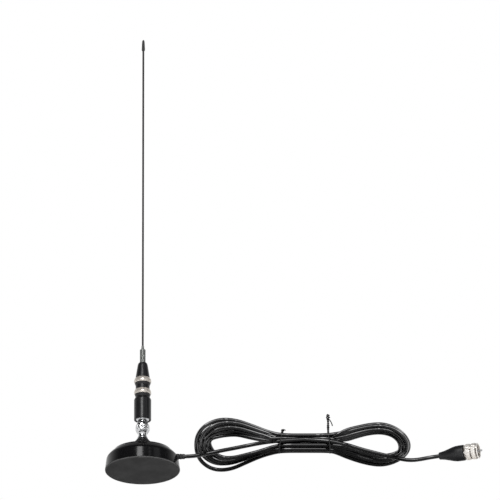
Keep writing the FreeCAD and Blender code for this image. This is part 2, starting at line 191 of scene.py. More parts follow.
def rounded(profile, radius, steps=5, closed=True):
    """Profile with each corner replaced by a quadratic curve that starts radius away along its sides.

    Each curve is (1-t)^2 a + 2t(1-t) p + t^2 b; one more point on either side keeps the flats flat.
    """
    p = np.asarray(profile, float)
    before, after = np.roll(p, 1, 0), np.roll(p, -1, 0)
    if not closed:
        before[0], after[-1] = p[0], p[-1]
    lengths = [np.linalg.norm(q - p, axis=1, keepdims=True) for q in (before, after)]
    reach = [np.minimum(radius / np.maximum(n, 1e-9), 0.42) for n in lengths]
    a = p + (before - p) * reach[0]
    b = p + (after - p) * reach[1]
    hold_a = p + (before - p) * np.minimum(reach[0] * 1.25, 0.48)
    hold_b = p + (after - p) * np.minimum(reach[1] * 1.25, 0.48)
    t = np.linspace(0, 1, steps)[None, :, None]
    curve = (1 - t) ** 2 * a[:, None] + 2 * t * (1 - t) * p[:, None] + t ** 2 * b[:, None]
    full = np.concatenate([hold_a[:, None], curve, hold_b[:, None]], 1).reshape(-1, 2)
    if not closed:
        full = np.concatenate([p[:1], full[steps + 2:-(steps + 2)], p[-1:]])
    return full


def lathe(name, profile, start=(0, 0, 0), direction=UP, around=96, closed=True, swell=None, sharp=35.0):
    """Profile of (radius, distance) in millimetres turned about an axis.

    A point is start + distance * axis + radius * swell(angle, distance) * (cos, sin) across the axis.
    """
    u, v, w = axes_for(direction)
    profile = np.asarray(profile, float)
    angle = np.linspace(0, 2 * pi, around, endpoint=False)
    radius, distance = profile[:, 0][:, None], profile[:, 1][:, None]
    if swell is not None:
        radius = radius * swell(angle[None, :], distance)
    across = np.cos(angle)[None, :, None] * u + np.sin(angle)[None, :, None] * v
    spread = (radius * np.ones_like(angle))[..., None] * across
    points = np.array(start) + MM * (spread + distance[..., None] * w)
    return grid_mesh(name, points, closed, True, sharp)


def tube(name, path, radius, around=12):
    """Round tube along an (n, 3) path, with frames carried along it without twist, and closed ends."""
    path = np.asarray(path, float)
    ahead = np.gradient(path, axis=0)
    ahead /= np.linalg.norm(ahead, axis=1, keepdims=True)
    side = np.cross(ahead[0], (0.3, 0.5, 0.8))
    sides = []
    for tangent in ahead:
        side = side - tangent * side.dot(tangent)
        side = side / np.linalg.norm(side)
        sides.append(side)
    sides = np.array(sides)
    other = np.cross(ahead, sides)
    angle = np.linspace(0, 2 * pi, around, endpoint=False)
    circle = np.cos(angle)[None, :, None] * sides[:, None] + np.sin(angle)[None, :, None] * other[:, None]
    points = path[:, None] + radius * circle
    ends = [np.repeat(path[k][None, None], around, 1) for k in (0, -1)]
    return grid_mesh(name, np.concatenate([ends[0], points, ends[1]]), False, True, 60.0)


def joined(name, meshes):
    """One mesh from several, in their order."""
    first = np.cumsum([0] + [len(m.vertices) for m in meshes])
    places = np.concatenate([values(m.vertices, "co", 3, np.float32) for m in meshes])
    corners = np.concatenate([values(m.loops, "vertex_index", 1, np.int32) + n
                              for m, n in zip(meshes, first)])
    sizes = np.concatenate([values(m.polygons, "loop_total", 1, np.int32) for m in meshes])
    faces = np.split(corners.ravel(), np.cumsum(sizes)[:-1])
    mesh = bpy.data.meshes.new(name)
    mesh.from_pydata(places.tolist(), [], [face.tolist() for face in faces])
    mesh.shade_smooth()
    mesh.set_sharp_from_angle(angle=radians(35))
    return mesh


# ---- shader maths ----------------------------------------------------------------------------
# The Mix node's sockets for two colours and for their mix, which share their names with other types'.
MIX_A, MIX_B, MIX_RESULT = 6, 7, 2


class Wire:
    """A node's output, so that materials are written as expressions."""

    def __init__(self, shader, socket):
        self.shader = shader
        self.socket = socket

    def math(self, operation, a, b):
        return self.shader.node("ShaderNodeMath", {"operation": operation}, {0: a, 1: b})

    def __add__(self, other):
        return self.math("ADD", self, other)

    def __radd__(self, other):
        return self.math("ADD", other, self)

    def __sub__(self, other):
        return self.math("SUBTRACT", self, other)

    def __rsub__(self, other):
        return self.math("SUBTRACT", other, self)

    def __mul__(self, other):
        return self.math("MULTIPLY", self, other)

    def __rmul__(self, other):
        return self.math("MULTIPLY", other, self)


class Shader:
    """The nodes of one material, or of the world; node() makes every one of them."""

    def __init__(self, name, owner=None):
        self.material = owner or bpy.data.materials.new(name)
        self.material.use_nodes = True
        self.tree = self.material.node_tree
        self.tree.nodes.clear()
        self.place = self.node("ShaderNodeTexCoord", output="Object")

    def node(self, kind, settings=None, inputs=None, output=0):
        """A node of a kind, with its settings made first and then its sockets set or linked."""
        node = self.tree.nodes.new(kind)
        for key, value in (settings or {}).items():
            if key == "stops":
                for stop, (position, level) in zip(node.color_ramp.elements, value):
                    stop.position = position
                    stop.color = (level, level, level, 1)
            else:
                setattr(node, key, value)
        for key, value in (inputs or {}).items():
            if isinstance(value, Wire):
                self.tree.links.new(value.socket, node.inputs[key])
            else:
                node.inputs[key].default_value = value
        return Wire(self, node.outputs[output]) if node.outputs else None

    def noise(self, scale, detail=3.0, roughness=0.5, vector=None):
        return self.node("ShaderNodeTexNoise", {}, {"Vector": vector or self.place, "Scale": scale,
                                                   "Detail": detail, "Roughness": roughness})

    def ramp(self, factor, low_at, low_value, high_at, high_value):
        return self.node("ShaderNodeValToRGB", {"stops": [(low_at, low_value), (high_at, high_value)]},
                         {"Fac": factor}, "Color")

    def stretched(self, scale, location=(0, 0, 0), rotation=(0, 0, 0)):
        return self.node("ShaderNodeMapping", {"vector_type": "POINT"},
                         {"Vector": self.place, "Scale": scale, "Location": location, "Rotation": rotation})

    def mix(self, factor, a, b):
        """Colour a where factor is 0 and b where it is 1."""
        a, b = (colour if isinstance(colour, Wire) else (*colour, 1) for colour in (a, b))
        return self.node("ShaderNodeMix", {"data_type": "RGBA"}, {0: factor, MIX_A: a, MIX_B: b},
                         MIX_RESULT)

    def blend(self, factor, a, b):
        """Shader a where factor is 0 and b where it is 1."""
        return self.node("ShaderNodeMixShader", {}, {0: factor, 1: a, 2: b})

    def bump(self, height, strength, distance):
        return self.node("ShaderNodeBump", {}, {"Height": height, "Strength": strength,
                                                "Distance": distance}, "Normal")

    def surface(self, **sockets):
        """Ends the material: the names are the Principled shader's, with _ for a space."""
        inputs = {key.replace("_", " "): value for key, value in sockets.items()}
        shader = self.node("ShaderNodeBsdfPrincipled", {}, inputs)
        self.node("ShaderNodeOutputMaterial", {}, {"Surface": shader})
        return self.material


def lighter(colour, factor):
    """Colour times a factor, with no channel above 1."""
    return tuple(min(1.0, c * factor) for c in colour)


def gloss_enamel(colour):
    """Black enamel with faint orange peel and a few dull specks."""
    s = Shader("gloss_enamel")
    peel = s.noise(420.0, 2.0)
    cloud = s.noise(60.0, 3.0)
    tone = s.mix(cloud, lighter(colour, 0.8), lighter(colour, 1.35))
    return s.surface(Base_Color=tone, Roughness=s.ramp(cloud, 0.3, 0.12, 0.75, 0.2),
                     Normal=s.bump(peel, 0.03, 0.0003), Specular_IOR_Level=0.3)


def pad_rubber(colour):
    """Matt rubber with a fine moulded grain, faint scuffs and rings from its mould."""
    s = Shader("pad_rubber")
    grain = s.noise(2600.0, 2.0)
    scuff = s.noise(38.0, 5.0, 0.65)
    rings = s.node("ShaderNodeTexWave", {"wave_type": "RINGS", "rings_direction": "Z"},
                   {"Vector": s.place, "Scale": 70.0, "Distortion": 0.4, "Detail": 2.0}, "Fac")
    tone = s.mix(s.ramp(scuff, 0.35, 0.0, 0.75, 1.0), lighter(colour, 0.82), lighter(colour, 1.3))
    return s.surface(Base_Color=tone, Roughness=s.ramp(scuff, 0.3, 0.62, 0.8, 0.8),
                     Normal=s.bump(grain * 0.7 + rings * 0.3, 0.25, 0.0003), Specular_IOR_Level=0.35)


def moulded_black(name, colour, rough, grain_scale=1500.0, grain=0.15):
    """Moulded plastic or rubber with a fine grain and slight colour drift."""
    s = Shader(name)
    fine = s.noise(grain_scale, 2.0)
    drift = s.noise(90.0, 3.0)
    return s.surface(Base_Color=s.mix(drift, lighter(colour, 0.8), lighter(colour, 1.4)),
                     Roughness=s.ramp(drift, 0.3, rough - 0.06, 0.8, rough + 0.08),
                     Normal=s.bump(fine, grain, 0.0003))


def turned_metal(name, colour, rough, lines=3200.0, groove=0.1, metallic=1.0):
    """Metal with fine lines round the turning axis, a little uneven in gloss."""
    s = Shader(name)
    ridges = s.noise(1.0, 3.0, 0.6, s.stretched((12, 12, lines)))
    drift = s.noise(120.0, 3.0)
    tone = s.mix(drift, lighter(colour, 0.9), lighter(colour, 1.06))
    return s.surface(Base_Color=tone, Metallic=metallic,
                     Roughness=s.ramp(drift, 0.3, rough, 0.8, rough + 0.06),
                     Normal=s.bump(ridges, groove, 0.0002))


def plating(s, rough):
    """The clouding of a plated finish, with the roughness and the bumps that all plating has."""
    hair = s.noise(1.0, 4.0, 0.7, s.stretched((900, 60, 300), rotation=(0.4, 0.2, 0.7)))
    cloud = s.noise(140.0, 3.0)
    wear = s.ramp(hair * 0.6 + cloud * 0.4, 0.42, rough, 0.72, rough + 0.13)
    return cloud, {"Roughness": wear, "Normal": s.bump(cloud, 0.04, 0.0002)}


def plated(name, colour, rough=0.06):
    """Bright plating with hairline wear that shows only as a change of gloss."""
    s = Shader(name)
    cloud, finish = plating(s, rough)
    return s.surface(Base_Color=s.mix(cloud, lighter(colour, 0.93), colour), Metallic=1.0, **finish)


# Dark brown that is painted as shade, in patches, into the coupling ring's grooves.
GROOVE_SHADE = (0.05, 0.033, 0.024)
# The mast's rings are a little warmer and darker than the plug.
MAST_NICKEL = (0.70, 0.65, 0.59)
PLUG_STARTS, PLUG_ENDS = 0.1, 0.3
# Middles of the coupling ring's grooves along the plug, in millimetres, where shade is painted in patches.
GROOVES = (32.9, 40.3, 47.0)


def satin_nickel(colour):
    """Satin nickel, warm on the mast and pale on the plug, with painted shade in patches in the plug's
    grooves.

    The distance along the plug is the dot product of the place and the plug's direction; a patch shows
    where its square, from a groove's middle, is under a square millimetre.
    """
    s = Shader("satin_nickel")
    cloud, finish = plating(s, 0.22)
    along = s.node("ShaderNodeVectorMath", {"operation": "DOT_PRODUCT"},
                   {0: s.place, 1: tuple(PLUG_DIR)}, "Value")
    patches = s.ramp(s.noise(330.0, 1.0), 0.42, 0.0, 0.52, 1.0)
    plug = s.mix(cloud, lighter(colour, 1.16), lighter(colour, 1.24))
    base = s.mix(s.ramp(along, PLUG_STARTS, 0.0, PLUG_ENDS, 1.0), MAST_NICKEL, plug)
    # Each groove gets painted shade in patches: there the colour is pulled towards a dark brown.
    for groove in GROOVES:
        away = (along - (PLUG_FOOT.dot(PLUG_DIR) + groove * MM)) * (1 / MM)
        base = s.mix(s.ramp(away * away, 0.2, 0.95, 0.95, 0.0) * patches, base, GROOVE_SHADE)
    return s.surface(Base_Color=base, Metallic=0.5, **finish)


def anodised_black(colour):
    """Satin black anodising with faint turning lines and a soft worn patchiness."""
    s = Shader("anodised_black")
    ridges = s.noise(1.0, 3.0, 0.6, s.stretched((10, 10, 900)))
    drift = s.noise(75.0, 4.0, 0.6)
    return s.surface(Base_Color=s.mix(drift, lighter(colour, 0.85), lighter(colour, 1.2)),
                     Roughness=s.ramp(drift, 0.3, 0.27, 0.8, 0.34), Normal=s.bump(ridges, 0.03, 0.0001))


def cable_jacket(colour):
    """Glossy jacket with dull handling marks."""
    s = Shader("cable_jacket")
    marks = s.noise(60.0, 3.0, 0.5)
    return s.surface(Base_Color=s.mix(marks, lighter(colour, 0.7), lighter(colour, 1.3)),
                     Roughness=s.ramp(marks, 0.35, 0.06, 0.75, 0.1), Specular_IOR_Level=0.5)


def enamelled_wire(colour):
    """Copper winding: fine rings of wire up the coil."""
    s = Shader("enamelled_wire")
    turns = s.node("ShaderNodeTexWave", {"wave_type": "BANDS", "bands_direction": "Z"},
                   {"Vector": s.place, "Scale": 320.0}, "Fac")
    return s.surface(Base_Color=s.mix(turns, lighter(colour, 0.5), colour), Metallic=0.9, Roughness=0.3,
                     Normal=s.bump(turns, 0.6, 0.0003))


MATERIALS = {}


def make_materials(colours):
    """Every finish once, by the name of the slot in the record that it dresses."""
    MATERIALS.update({
        "gloss_black_shell": gloss_enamel(colours.shell),
        "black_rubber_pad": pad_rubber(colours.pad),
        "black_hub": moulded_black("hub_plastic", (0.010, 0.010, 0.011), 0.34, 900.0, 0.05),
        "chrome": plated("chrome", (0.88, 0.89, 0.90)),
        "bright_nickel": satin_nickel(colours.nickel),
        "satin_black": anodised_black(colours.housing),
        "cone_black": moulded_black("housing_plastic", (0.008, 0.008, 0.009), 0.36, 900.0, 0.05),
        "grey_steel": turned_metal("holder_steel", (0.22, 0.23, 0.22), 0.42, 700.0, 0.02, 0.7),
        "dark_whip": moulded_black("whip_enamel", (0.014, 0.013, 0.013), 0.5, 700.0, 0.03),
        "tip_black": moulded_black("tip_plastic", (0.02, 0.02, 0.02), 0.45),
        "black_relief": moulded_black("relief_rubber", (0.008, 0.008, 0.009), 0.4),
        "cable_black": cable_jacket(colours.cable),
        "tie_black": moulded_black("tie_plastic", (0.012, 0.012, 0.013), 0.45),
        "silver_pin": plated("silver_plate", (0.6, 0.6, 0.61), 0.2),
        "ptfe": moulded_black("white_insulator", (0.72, 0.72, 0.7), 0.5, 800.0, 0.05),
        "nylon": moulded_black("nylon", (0.55, 0.53, 0.47), 0.5, 800.0, 0.05),
        "brass": plated("brass", (0.72, 0.56, 0.27), 0.2),
        "zinc_steel": turned_metal("zinc_steel", (0.55, 0.56, 0.58), 0.32),
        "ferrite": moulded_black("ferrite", (0.05, 0.05, 0.055), 0.7),
        "copper": enamelled_wire((0.72, 0.34, 0.17)),
    })


# ---- base ------------------------------------------------------------------------------------
def build_shell():
    """Domed shell: side wall, shoulder, dome and crown, and back down its inside."""
    r = BASE_R / MM
    outside = [(r, 1.2), (r - 0.2, 2.2), (43.3, 14.5), (42.3, 16.8), (39.0, 20.4), (36.0, 23.0),
               (34.6, 25.0), (31.0, 25.8), (24.0, 26.5), (16.0, 27.2), (6.0, 27.4)]
    inside = [(6.0, 25.6), (24.0, 24.7), (33.0, 23.6), (37.5, 19.2), (41.5, 14.5), (42.8, 1.2)]
    mesh = lathe("base_shell_skin", rounded(outside + inside, 0.9), around=192)
    return add_piece("base_shell_skin", mesh, "root", "gloss_black_shell", ["base_shell"])


def build_pad():
    """Flat pad with a rolled edge and a shallow step near its rim."""
    r = BASE_R / MM - 0.1
    profile = [(0, 0.02), (r - 3.4, 0.02), (r - 3.0, 0.25), (r - 2.4, 0.25), (r - 2.0, 0.02),
               (r - 0.7, 0.02), (r, 0.6), (r, 1.2), (0, 1.2)]
    mesh = lathe("pad_skin", rounded(profile, 0.25, closed=False), around=192, closed=False)
    return add_piece("pad_skin", mesh, "root", "black_rubber_pad", ["base_pad"])


def build_hub():
    """Cone from a wide rounded foot up to the knuckle's stem."""
    profile = [(5.1, 27.0), (16.4, 27.0), (14.6, 28.2), (12.4, 30.2), (10.6, 34.6), (9.6, 37.0),
               (6.3, 41.0), (5.9, 41.5), (3.1, 41.5)]
    mesh = lathe("hub_skin", rounded(profile, 0.9), around=128)
    return add_piece("hub_skin", mesh, "root", "black_hub", ["hub_cone"])


def build_relief():
    """Strain relief: smooth root, two grip grooves and a tapered lip."""
    profile = [(2.45, 1.0), (4.1, 1.0), (4.1, 2.0), (3.5, 3.0), (3.45, 6.4), (3.05, 6.9), (3.05, 7.9),
               (3.4, 8.4), (3.35, 9.6), (2.98, 10.1), (2.98, 11.0), (3.2, 11.5), (3.0, 13.6), (2.45, 14.0)]
    mesh = lathe("relief_skin", rounded(profile, 0.25), EXIT_START, EXIT_DIR, 64)
    return add_piece("relief_skin", mesh, "root", "black_relief", ["strain_relief"])


# ---- knuckle ---------------------------------------------------------------------------------
# Each half ball's distance from the split plane, the room it turns in, and its flat's distance out.
BALL_GAP = 0.5 * MM
BALL_CLEAR = 9.35 * MM
FLAT_Y = 6.3 * MM


def clear_of_ball(mesh, side):
    """Keeps points on one side of the split plane outside the room that the other half turns in.

    A point with side * y above the gap moves along Z to the surface of a sphere round the centre.
    """
    co = values(mesh.vertices, "co", 3, float)
    across = co[:, 0] ** 2 + co[:, 1] ** 2
    reach = np.sqrt(np.maximum(BALL_CLEAR ** 2 - across, 0))
    beyond = side * co[:, 1] > -BALL_GAP
    if side > 0:
        limit = np.minimum(co[:, 2], CENTRE.z - reach)
    else:
        limit = np.maximum(co[:, 2], CENTRE.z + reach)
    co[:, 2] = np.where(beyond, limit, co[:, 2])
    mesh.vertices.foreach_set("co", co.ravel())
    mesh.update()
    return mesh


def half_ball(name, side, flat):
    """Half of the ball as a profile turned about Y: flat face, arc, and a flat or a pole outside."""
    r = BALL_R / MM
    end = np.arcsin(flat / r) if flat else pi / 2
    arc_angle = np.linspace(np.arcsin(BALL_GAP / MM / r), end, 24)
    arc = np.stack([r * np.cos(arc_angle), r * np.sin(arc_angle)], 1)
    hole = 2.6 if flat else 0
    outer = [[hole, arc[-1, 1]]] if flat else np.empty((0, 2))
    profile = np.concatenate([[[hole, BALL_GAP / MM]], arc, outer])
    if not flat:
        profile[-1, 0] = 0
    return lathe(name, profile, CENTRE, BACK * side, 96, closed=bool(flat), sharp=30.0)


def build_knuckle_lower():
    """Waisted stem with the front half of the ball on it."""
    stem = [(3.1, 41.5), (6.3, 41.5), (6.35, 42.2), (5.4, 44.0), (5.2, 45.6), (5.6, 47.4), (6.2, 49.0),
            (6.2, 51.0), (3.1, 51.0)]
    column = clear_of_ball(lathe("stem", rounded(stem, 0.45), around=96), 1)
    mesh = joined("knuckle_lower_skin", [column, half_ball("front", -1, FLAT_Y / MM)])
    return add_piece("knuckle_lower_skin", mesh, "root", "chrome", ["knuckle_lower"])


def build_knuckle_upper():
    """Back half of the ball with the collar and the flange that shows in the sleeve's mouth."""
    collar = [(3.0, 57.5), (6.2, 57.5), (6.2, 60.8), (5.6, 62.2), (5.6, 65.4), (7.6, 65.5), (8.35, 66.3),
              (8.35, 68.0), (3.0, 68.0)]
    neck = clear_of_ball(lathe("neck", rounded(collar, 0.4), around=96), -1)
    mesh = joined("knuckle_upper_skin", [neck, half_ball("back", 1, None)])
    return add_piece("knuckle_upper_skin", mesh, "mast", "chrome", ["knuckle_upper"])


def hexagon(angle, distance):
    """Ratio that turns a circle into a hexagon across the flats."""
    return 1 / np.cos((angle % (pi / 3)) - pi / 6) * np.ones_like(distance)


def build_clamp_screw():
    """Domed socket head with a hexagon recess, and its plain shank."""
    face = -FLAT_Y / MM - 0.1
    head = rounded([(1.75, face - 2.6), (3.0, face - 2.6), (4.8, face - 2.15), (5.7, face - 1.2),
                    (5.7, face), (1.75, face)], 0.9)
    recess = [(1.3, face - 2.45), (1.3, face - 0.6), (0, face - 0.6)]
    rim = rounded([(1.3, face - 2.45), (1.8, face - 2.6)], 0.1, closed=False)
    cap = lathe("screw_head", head, CENTRE, BACK, 96)
    socket = lathe("screw_socket", recess, CENTRE, BACK, 96, closed=False, swell=hexagon)
    collar = lathe("screw_rim", rim, CENTRE, BACK, 96, closed=False)
    pillar = [(0, face - 0.2), (2.5, face - 0.2), (2.5, 7.0), (0, 7.0)]
    shank = lathe("screw_shank", pillar, CENTRE, BACK, 48, closed=False)
    mesh = joined("clamp_screw_skin", [cap, socket, collar, shank])
    return add_piece("clamp_screw_skin", mesh, "clamp_screw", "chrome", ["clamp_screw"])


# ---- coil housing ----------------------------------------------------------------------------
def build_sleeve():
    """Tall sleeve with a chamfered mouth and a sloping shoulder."""
    r = HOUSING_R / MM
    profile = [(8.5, 65.0), (r - 0.3, 65.0), (r, 65.5), (r, 91.2), (r - 0.5, 92.3), (8.4, 94.8),
               (7.1, 94.8), (7.1, 91.0), (8.5, 89.0)]
    mesh = lathe("sleeve_skin", rounded(profile, 0.5), around=128)
    return add_piece("sleeve_skin", mesh, "mast", "satin_black", ["coil_sleeve"])


def build_spacer(node):
    """Black neck, straight and then flared under its ring."""
    foot, top = low(node) / MM, high(node) / MM
    profile = [(7.1, foot), (8.4, foot), (8.4, top - 3.2), (9.5, top - 0.5), (9.45, top), (7.1, top)]
    mesh = lathe(node + "_skin", rounded(profile, 0.35), around=128)
    return add_piece(node + "_skin", mesh, "mast", "cone_black", [node])


# Rows of a bright ring: radius in millimetres, share of its height, and turn in half facets.
RING_ROWS = [(7.1, 0.0, 0), (9.5, 0.0, 0), (10.25, 0.12, 0), (10.45, 0.36, 1), (10.1, 0.6, 0),
             (9.45, 0.82, 1), (8.5, 1.0, 0), (7.1, 1.0, 0)]


def build_bright_ring(node, facets):
    """Diamond-cut ring: zigzag rows of flat facets between a round top edge and a round bottom edge.

    A point is its row's radius times the cosine and sine of a whole number of facets plus the row's turn,
    at its share of the height. Rows with the same turn are joined by four-sided faces, others by triangles.
    """
    foot, top = low(node), high(node)
    radius, share, half = (column[:, None] for column in np.array(RING_ROWS).T)
    angle = (np.arange(facets) + half / 2) * 2 * pi / facets - pi / 2
    z = (foot + share * (top - foot)) * np.ones(facets)
    points = np.stack([radius * MM * np.cos(angle), radius * MM * np.sin(angle), z], 2).reshape(-1, 3)
    corner = np.arange(len(points)).reshape(z.shape)
    a, b = corner, np.roll(corner, -1, 1)
    d, c = np.roll(a, -1, 0), np.roll(b, -1, 0)
    shift = (np.roll(half, -1, 0) - half).ravel()
    flat, out, back = shift == 0, shift > 0, shift < 0
    faces = np.stack([a[flat], b[flat], c[flat], d[flat]], -1).reshape(-1, 4).tolist()
    for rows, corners in ((out, (a, b, d)), (out, (d, b, c)), (back, (a, c, d)), (back, (a, b, c))):
        faces += np.stack([place[rows] for place in corners], -1).reshape(-1, 3).tolist()
    mesh = bpy.data.meshes.new(node + "_skin")
    mesh.from_pydata(points.tolist(), [], faces)
    piece = add_piece(node + "_skin", mesh, "mast", "bright_nickel", [node])
    bevel = piece.modifiers.new("edges", "BEVEL")
    bevel.width = 0.12 * MM
    bevel.segments = 1
    return piece


def build_cone():
    """Cone with a short straight foot and a rounded top."""
    foot, top = low("cone_cap") / MM, high("cone_cap") / MM
    profile = [(7.1, foot), (8.4, foot), (8.4, foot + 1.4), (6.05, top - 3.6), (5.5, top - 1.6),
               (4.6, top - 0.5), (3.5, top), (3.3, top), (3.3, 126.0), (7.1, 122.0)]
    mesh = lathe("cone_skin", rounded(profile, 0.8), around=128)
    return add_piece("cone_skin", mesh, "mast", "cone_black", ["cone_cap"])


# ---- whip ------------------------------------------------------------------------------------
WHIP_ENAMEL = 0.09


def build_whip():
    """Slim rod under a thin coat of enamel, with its lower end inside the holder."""
    foot, top = low("whip") / MM, high("whip") / MM
    radius = high("whip", 0) / MM + WHIP_ENAMEL
    profile = [(0, foot), (radius, foot + 0.3), (radius, top), (0, top)]
    mesh = lathe("whip_skin", profile, around=32, closed=False)
    return add_piece("whip_skin", mesh, "whip", "dark_whip", ["whip"])


def build_tip():
    """Tapered cap with a rounded nose."""
    foot, top = low("whip_tip") / MM, high("whip_tip") / MM
    profile = [(1.07, foot), (1.9, foot), (2.0, foot + 1.0), (1.5, top - 2.4), (0.95, top - 0.5),
               (0.4, top - 0.05), (0, top)]
    points = np.concatenate([[[1.07, top - 5]], rounded(profile, 0.6, closed=False)])
    mesh = lathe("tip_skin", points, around=48, closed=False)
    return add_piece("tip_skin", mesh, "whip", "tip_black", ["whip_tip"])


# ---- cable -----------------------------------------------------------------------------------
LEAD_ROUTE = [(0.0427, -0.0089, 0.0147), (0.0520, -0.0109, 0.0140), (0.0614, -0.0166, 0.0124),
              (0.0694, -0.0248, 0.0102), (0.0752, -0.0340, 0.0080)]
LEAD_UNDER_LOOP = [(0.0810, -0.0430, 0.0056), (0.0880, -0.0520, 0.0036), (0.0970, -0.0595, 0.0026),
                   (0.1090, -0.0655, 0.0026), (0.1230, -0.0695, 0.0040), (0.1370, -0.0705, 0.0066),
                   (0.1510, -0.0680, 0.0100)]
TAIL_UNDER_LOOP = [(0.2330, -0.0670, 0.0098), (0.2460, -0.0700, 0.0050), (0.2600, -0.0640, 0.0026),
                   (0.2750, -0.0535, 0.0025), (0.2900, -0.0435, 0.0025)]
TAIL_ROUTE = [(0.3035, -0.0356, 0.0025), (0.3132, -0.0293, 0.0025), (0.3230, -0.0248, 0.0036),
              (0.3332, -0.0221, 0.0060), (0.3444, -0.0219, 0.0085), (0.3550, -0.0249, 0.0089)]

# Hank outlines, largest and smallest turn, from the lower side of the waist round to its upper side.
# Each point is (x, distance in front of the antenna's axis, height), in millimetres.
LEFT_LARGE = [(157, 46.5, 5), (141, 37.5, 3.6), (124, 20, 2.6), (105, -2.5, 2.5), (86, -9, 4.5),
              (72, -4, 11), (65, 12, 17), (63.8, 40, 20), (66.5, 70, 20), (75.5, 101, 18.5), (92, 123, 17),
              (112, 123.5, 15.5), (132, 106, 15), (152, 80, 17)]
LEFT_SMALL = [(157, 54, 9.5), (141, 49.5, 5.5), (124, 39.5, 4), (108, 25, 6.5), (95, 19, 9.5),
              (85.5, 26, 13), (81, 41, 15), (80, 57, 15), (83, 72, 13), (90, 86, 9.5), (100, 102, 5),
              (114, 110, 2.6), (130, 98, 3), (147, 80, 7)]
RIGHT_LARGE = [(230, 46, 6), (245, 33.6, 4), (266, 18.9, 2.6), (286, 6, 4.5), (303, 8, 8.5),
               (316, 27, 10.5), (319.5, 59.5, 9), (314.5, 86, 10), (304, 107, 11), (289, 118, 12.8),
               (274, 115, 13.6), (258, 105, 14.2), (241, 90, 15.7)]
RIGHT_SMALL = [(232, 54, 11), (250, 46.8, 11), (269, 27, 11), (284, 20, 11), (297, 23, 11),
               (307, 38.5, 9), (308.6, 66.5, 4.5), (306, 89.8, 3), (298, 109, 2.6), (285, 117, 2.6),
               (271, 113, 3), (257, 96, 6), (241, 72, 10)]
# How far each turn is from the largest (0) to the smallest (1): lower side, end and upper side.
LEFT_SIZE = [(0, 0, 0), (0.55, 0.45, 0.17), (0.62, 0.2, 0.35), (0.72, 0.6, 0.5), (0.85, 0.8, 0.75),
             (1, 1, 1)]
RIGHT_SIZE = [(0, 0, 0), (0.2, 0.2, 0.2), (0.4, 0.4, 0.42), (0.6, 0.6, 0.62), (0.8, 0.8, 0.8), (1, 1, 1)]
# How far each turn is layered down and forward (or, if negative, up and back) in the same three places.
LEFT_LAYER = [(0, 0, 0), (0.6, -0.2, 1.0), (-0.6, -1.0, 0), (0.8, -1.0, 1.2), (-0.4, 0, 0), (1.1, 0.5, 0)]
RIGHT_LAYER = [(0, 0, 0), (-0.9, 1.0, 0.8), (0.3, -1.0, 0), (0, 0, 0.9), (-0.8, -1.5, 0), (0.4, 0, -0.5)]
# One layer forward and one layer down, and the height of the lowest strands' middles.
LAYER_STEP = (9.7, 4.0)
LOWEST = 2.5
# Places of the strands across the waist: (forward, up) from its axis, for the lower and the upper strands.
WAIST_AXIS = (55.5, 13.35)
LOWER_PLACES = [(4.8, -4.1), (-2.4, -8.2), (2.4, -8.2), (-4.8, -4.1), (0, -4.1), (-7.2, 0)]
UPPER_PLACES = [(4.8, 4.1), (-4.8, 4.1), (2.4, 8.2), (-2.4, 8.2), (0, 4.1), (-2.4, 0), (7.2, 0)]
UPPER_PLACES_LEFT = [(7.2, 0)] + UPPER_PLACES[1:-1] + [(4.8, 4.1)]
# How far the strands spread from those places, and where along X a pass has its points, in millimetres.
WAIST_SPREAD = 1.1
WAIST_X = (168.0, 194.5, 221.0)
TURNS = 6
TIE_X = {"tie_left": 0.1652, "tie_right": 0.2233}
TIE_RADIUS = 11.95 * MM
# Where each tie's ear ends, where its loose end points, and how far its loop leans, in metres.
TIE_EARS = {"tie_left": ((0.1680, -0.0600, 0.0290), (0.1708, -0.0625, 0.0270), 0.0016),
            "tie_right": ((0.2219, -0.0685, 0.0450), (0.2272, -0.0670, 0.0310), -0.0011)}


def hank_loop(large, small, size, layer):
    """One turn's end loop: each point is between the largest and smallest turn, then moved by its layer.

    size and layer hold three values each, for the lower side, the end and the upper side, and are
    eased along the loop by linear interpolation; the layer fades to nothing at the waist.
    """
    large, small = np.array(large, float), np.array(small, float)
    u = np.linspace(0, 1, len(large))
    amount = np.interp(u, (0.2, 0.5, 0.8), size)[:, None]
    step = np.interp(u, (0, 0.3, 0.5, 0.75, 1), (0, *layer, 0))
    points = large + (small - large) * amount
    points[:, 1] += LAYER_STEP[0] * step
    points[:, 2] = np.maximum(points[:, 2] - LAYER_STEP[1] * step, LOWEST)
    return points


def waist_pass(left_place, right_place):
    """Three points through the tied waist, from left to right."""
    middle = [(a + b) / 2 for a, b in zip(left_place, right_place)]
    places = (left_place, middle, right_place)
    return np.array([(x, WAIST_AXIS[0] + WAIST_SPREAD * f, WAIST_AXIS[1] + WAIST_SPREAD * h)
                     for x, (f, h) in zip(WAIST_X, places)])


def hank_points():
    """The whole hank in metres.

    Each turn runs right, round the right loop, back left and round the left loop.
    """
    runs = []
    for turn in range(TURNS + 1):
        runs.append(waist_pass(UPPER_PLACES_LEFT[turn], UPPER_PLACES[turn]))
        if turn == TURNS:
            break
        order = (turn - 1) % TURNS
        runs.append(hank_loop(RIGHT_LARGE, RIGHT_SMALL, RIGHT_SIZE[order], RIGHT_LAYER[order])[::-1])
        runs.append(waist_pass(LOWER_PLACES[turn], LOWER_PLACES[turn])[::-1])
        runs.append(hank_loop(LEFT_LARGE, LEFT_SMALL, LEFT_SIZE[order], LEFT_LAYER[order]))
    points = np.concatenate(runs) * MM
    points[:, 1] *= -1
    return points.tolist()


